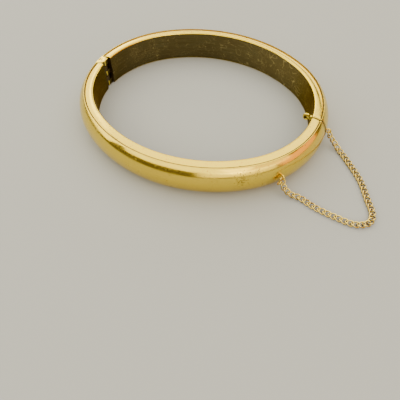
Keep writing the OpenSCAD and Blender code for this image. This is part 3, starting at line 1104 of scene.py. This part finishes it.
class BANGLE_OT_liners(bpy.types.Operator):
    """Build the inner walls with rims, end plates and hinge knuckles"""

    bl_idname = "bangle.liners"
    bl_label = "Liners"

    def execute(self, context):
        s = context.scene.bangle_band
        oval = Oval(s)
        loop = liner_loop(s)
        outline = plate_loop(s)
        y_clasp = s.clasp_gap / 2
        y_hinge = s.knuckle / 2 + s.hinge_gap
        for node, front, knuckles in (
            ("back_liner", False, (0, 2, 4)),
            ("front_liner", True, (1, 3)),
        ):
            line = 0 if front else s.line_round
            turns, insets = band_turns(loop, oval, y_clasp + s.plate, y_hinge + s.plate, line)
            wall = sweep("wall", loop, turns, oval, front, insets)
            plates = []
            for y, hinge in ((y_clasp, False), (y_hinge, True)):
                turns, insets = plate_turns(
                    outline, oval, y, y + s.plate, hinge, s.end_round, s.line_round
                )
                plates.append(sweep("plate", outline, turns, oval, front, insets))
            if not front:
                for part in (wall, plates[0]):
                    boolean(part, self.clasp_cut(s), "DIFFERENCE")
            parts = [wall, *plates]
            skin = sum(len(p.data.polygons) for p in parts)
            parts += [knuckle(s, i, front) for i in knuckles]
            piece = join(f"{node}_skin", parts)
            smooth(piece.data)
            finish_faces(
                piece,
                ["polished_gold", "inside_gold", "seam_gold", "fitting_gold"],
                lambda f: self.pick(f, s, oval, skin, front),
            )
            settle(piece, node)
        return {"FINISHED"}

    @staticmethod
    def clasp_cut(s):
        """The mouth for the tongue and the notch for the button's neck, as one cutter."""
        wall = Vector((s.inner_length / 2, 0, 0))
        mouth = block("mouth", *(wall + Vector(corner) for corner in MOUTH))
        notch = block("notch", *(wall + Vector(corner) for corner in NOTCH))
        boolean(mouth, notch, "UNION")
        return mouth

    @staticmethod
    def pick(face, s, oval, skin, front):
        """0 polished rims, 1 inner wall, 2 end faces and edges darkened as painted shade, 3
        knuckles with a painted highlight.
        """
        if face.index >= skin:
            if face.normal.z > LEVEL and face.center.z > s.height - s.knuckle / 4:
                return 0
            # Level faces between the knuckles and the front knuckles' inner sides get painted
            # shade.
            if abs(face.normal.z) > LEVEL or (front and face.normal.x > INWARD):
                return 2
            # A narrow painted highlight down the very front of each back knuckle.
            if face.normal.x > INMOST and abs(face.center.y) < s.knuckle / 6:
                return 3
            # The back knuckles' other inner sides take the inner wall's painted shade.
            return 1 if face.normal.x > INWARD else 3
        centre = face.center
        # End faces, the clasp's ends, the solder line and the rim's outer edge get painted shade.
        if abs(face.normal.y) > END_ON and abs(centre.y) < s.knuckle:
            return 2
        if centre.x > 0 and abs(centre.y) < s.clasp_gap / 2 + 0.9 * s.end_round:
            return 2
        line = s.clasp_gap / 2 + s.plate
        if centre.x > 0 and line - s.line_round < centre.y < line + s.line_round:
            return 2
        deep = oval.depth(centre.x, centre.y)
        if s.rim_width - 0.6 * s.edge_round < deep < s.rim_width + s.seam_gap:
            return 2
        # The inner wall, whose finish carries painted shade.
        if abs(face.normal.z) < UPRIGHT:
            return 1
        return 0


class BANGLE_OT_chain(bpy.types.Operator):
    """Build the curb safety chain"""

    bl_idname = "bangle.chain"
    bl_label = "Safety chain"

    def execute(self, context):
        s = context.scene.bangle_band
        chain = context.scene.bangle_chain
        piece = tube("curb_chain", curb_lines(s, chain), chain.wire, sides=10)
        finish_faces(piece, ["chain_gold"], lambda f: 0)
        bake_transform(piece)
        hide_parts("safety_chain")
        return {"FINISHED"}


class BANGLE_OT_fittings(bpy.types.Operator):
    """Finish the pin, the tongue with its button and the loose ring"""

    bl_idname = "bangle.fittings"
    bl_label = "Fittings"

    def execute(self, context):
        for node in ("hinge_pin", "clasp_tongue", "jump_ring"):
            thing = frame["nodes"][node]
            finish_faces(thing, ["fitting_gold"], lambda f: 0)
            smooth(thing.data, math.radians(40))
        return {"FINISHED"}


class BANGLE_OT_stage(bpy.types.Operator):
    """Set up the floor, the soft lights and the camera"""

    bl_idname = "bangle.stage"
    bl_label = "Stage"

    def execute(self, context):
        stage = context.scene.bangle_stage
        self.floor(stage)
        self.camera(context, stage)
        self.lights(context, stage)
        return {"FINISHED"}

    @staticmethod
    def floor(stage):
        """A wide plain floor just under the bangle."""
        mesh = bpy.data.meshes.new("floor")
        r = FLOOR_HALF
        mesh.from_pydata([(-r, -r, 0), (r, -r, 0), (r, r, 0), (-r, r, 0)], [], [(0, 1, 2, 3)])
        mesh.materials.append(pale_floor(stage.floor))
        link("floor", mesh)

    @staticmethod
    def camera(context, stage):
        """The camera at the photograph's angle."""
        data = bpy.data.cameras.new("camera")
        data.lens = stage.lens
        data.sensor_width = SENSOR_WIDTH
        data.clip_start = 0.001
        view = bpy.data.objects.new("camera", data)
        view.location = (stage.camera_x, -stage.camera_back, stage.camera_z)
        level = math.cos(stage.pitch)
        way = Vector((
            -math.sin(stage.heading) * level,
            math.cos(stage.heading) * level,
            -math.sin(stage.pitch),
        ))
        view.rotation_euler = way.to_track_quat("-Z", "Y").to_euler()
        context.scene.collection.objects.link(view)
        context.scene.camera = view

    @staticmethod
    def lights(context, stage):
        """A broad softbox overhead, soft fills all round and a warm lamp at the side."""
        for name, place, size, watts, colour in LIGHTS:
            data = bpy.data.lights.new(name, "AREA")
            data.shape = "RECTANGLE"
            data.size, data.size_y = size
            data.energy = watts
            data.color = colour
            lamp = bpy.data.objects.new(name, data)
            lamp.location = place
            lamp.rotation_euler = (-Vector(place)).to_track_quat("-Z", "Y").to_euler()
            context.scene.collection.objects.link(lamp)
        world = bpy.data.worlds.new("room")
        context.scene.world = world
        world.use_nodes = True
        glow = world.node_tree.nodes["Background"]
        glow.inputs["Color"].default_value = (*stage.room, 1)
        glow.inputs["Strength"].default_value = stage.glow


class BANGLE_PT_panel(bpy.types.Panel):
    """Buttons for the bangle's pieces."""

    bl_label = "Hinged bangle"
    bl_idname = "BANGLE_PT_panel"
    bl_space_type = "VIEW_3D"
    bl_region_type = "UI"
    bl_category = "Bangle"

    def draw(self, context):
        for operator in OPERATORS:
            self.layout.operator(operator.bl_idname)


OPERATORS = (
    BANGLE_OT_domes,
    BANGLE_OT_liners,
    BANGLE_OT_chain,
    BANGLE_OT_fittings,
    BANGLE_OT_stage,
)
SETTINGS = {
    "bangle_band": BangleBandSizes,
    "bangle_chain": BangleChainSizes,
    "bangle_finish": BangleFinish,
    "bangle_stage": BangleStage,
}


def register():
    """Registers the classes and their settings."""
    for kind in (*SETTINGS.values(), *OPERATORS, BANGLE_PT_panel):
        bpy.utils.register_class(kind)
    for name, kind in SETTINGS.items():
        setattr(bpy.types.Scene, name, bpy.props.PointerProperty(type=kind))


def unregister():
    """Takes the classes and settings away again."""
    for name in SETTINGS:
        delattr(bpy.types.Scene, name)
    for kind in reversed((*SETTINGS.values(), *OPERATORS, BANGLE_PT_panel)):
        bpy.utils.unregister_class(kind)


def main():
    """Builds everything in order."""
    register()
    bpy.ops.bangle.stage()
    bpy.ops.bangle.domes()
    bpy.ops.bangle.liners()
    bpy.ops.bangle.chain()
    bpy.ops.bangle.fittings()


if __name__ == "__main__":
    main()
